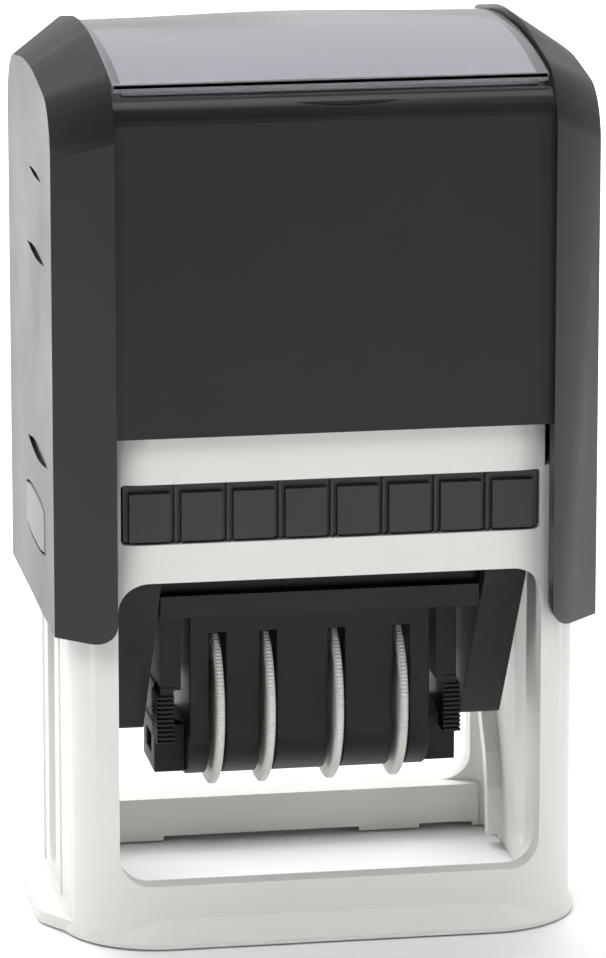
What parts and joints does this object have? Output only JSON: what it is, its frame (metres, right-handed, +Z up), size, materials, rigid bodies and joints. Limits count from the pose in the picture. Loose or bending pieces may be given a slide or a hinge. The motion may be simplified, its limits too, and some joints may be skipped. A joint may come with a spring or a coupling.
{
  "type": "self-inking date stamp",
  "caption": "Self-inking rotary date stamp: black press-down cap over a white open base frame, with a turn-over cradle that carries the text plate and date wheels.",
  "frame": {"origin": "on the surface that the base stands on, under the middle of the whole stamp, to within 1 mm", "axes": "+X to the right seen from the front, +Y to the back, +Z up, against the press stroke"},
  "size_m": [0.0731, 0.059, 0.1179],
  "materials": {
    "white_plastic": "satin",
    "black_plastic": "satin",
    "mechanism_black": "satin",
    "button_grey": "satin",
    "card": "matte",
    "clear": "gloss",
    "felt": "matte",
    "rubber": "matte",
    "band_rubber": "matte",
    "wheel_grey": "satin",
    "steel": "brushed"
  },
  "bodies": {
    "base": {"base_frame": "white_plastic"},
    "cap": {"cap_shell": "black_plastic", "index_card": "card", "axle_stub_left": "steel", "axle_stub_right": "steel", "return_spring_left": "steel", "return_spring_right": "steel"},
    "window": {"index_window": "clear"},
    "button_left": {"lock_button_left": "button_grey"},
    "button_right": {"lock_button_right": "button_grey"},
    "cassette": {"ink_cassette": "mechanism_black", "ink_pad": "felt"},
    "cradle": {"plate_holder": "mechanism_black", "text_plate": "rubber", "date_unit_mount": "mechanism_black", "date_unit_cover": "mechanism_black", "date_clip_left": "mechanism_black", "date_clip_right": "mechanism_black", "band_bridge": "mechanism_black", "wheel_axle": "steel", "date_band_1": "band_rubber", "date_band_2": "band_rubber", "date_band_3": "band_rubber", "date_band_4": "band_rubber"},
    "wheel_1": {"date_wheel_1": "wheel_grey"},
    "wheel_2": {"date_wheel_2": "wheel_grey"},
    "wheel_3": {"date_wheel_3": "wheel_grey"},
    "wheel_4": {"date_wheel_4": "wheel_grey"}
  },
  "joints": [
    {"name": "press_slide", "type": "slide", "parent": "base", "child": "cap", "axis": [0, 0, -1], "range_m": [0, 0.039], "stiffness_N_per_m": 150, "springref_m": -0.02, "deforming": ["return_spring_left", "return_spring_right"]},
    {"name": "cradle_flip", "type": "hinge", "parent": "cap", "child": "cradle", "pos_m": [0, 0, 0.046], "axis": [1, 0, 0], "range_deg": [0, 180]},
    {"name": "window_lift", "type": "slide", "parent": "cap", "child": "window", "axis": [0, 0, 1], "range_m": [0, 0.015]},
    {"name": "lock_left", "type": "slide", "parent": "cap", "child": "button_left", "axis": [1, 0, 0], "range_m": [0, 0.001], "stiffness_N_per_m": 200, "springref_m": -0.003},
    {"name": "lock_right", "type": "slide", "parent": "cap", "child": "button_right", "axis": [-1, 0, 0], "range_m": [0, 0.001], "stiffness_N_per_m": 200, "springref_m": -0.003},
    {"name": "cassette_slide", "type": "slide", "parent": "base", "child": "cassette", "axis": [0, 1, 0], "range_m": [-0.044, 0]},
    {"name": "wheel_1_turn", "type": "hinge", "parent": "cradle", "child": "wheel_1", "pos_m": [0, 0, 0.0267], "axis": [1, 0, 0], "continuous": true},
    {"name": "wheel_2_turn", "type": "hinge", "parent": "cradle", "child": "wheel_2", "pos_m": [0, 0, 0.0267], "axis": [1, 0, 0], "continuous": true},
    {"name": "wheel_3_turn", "type": "hinge", "parent": "cradle", "child": "wheel_3", "pos_m": [0, 0, 0.0267], "axis": [1, 0, 0], "continuous": true},
    {"name": "wheel_4_turn", "type": "hinge", "parent": "cradle", "child": "wheel_4", "pos_m": [0, 0, 0.0267], "axis": [1, 0, 0], "continuous": true}
  ],
  "couplings": [
    {"joint": "cradle_flip", "follows": "press_slide", "rad_per_m": 80.554}
  ]
}
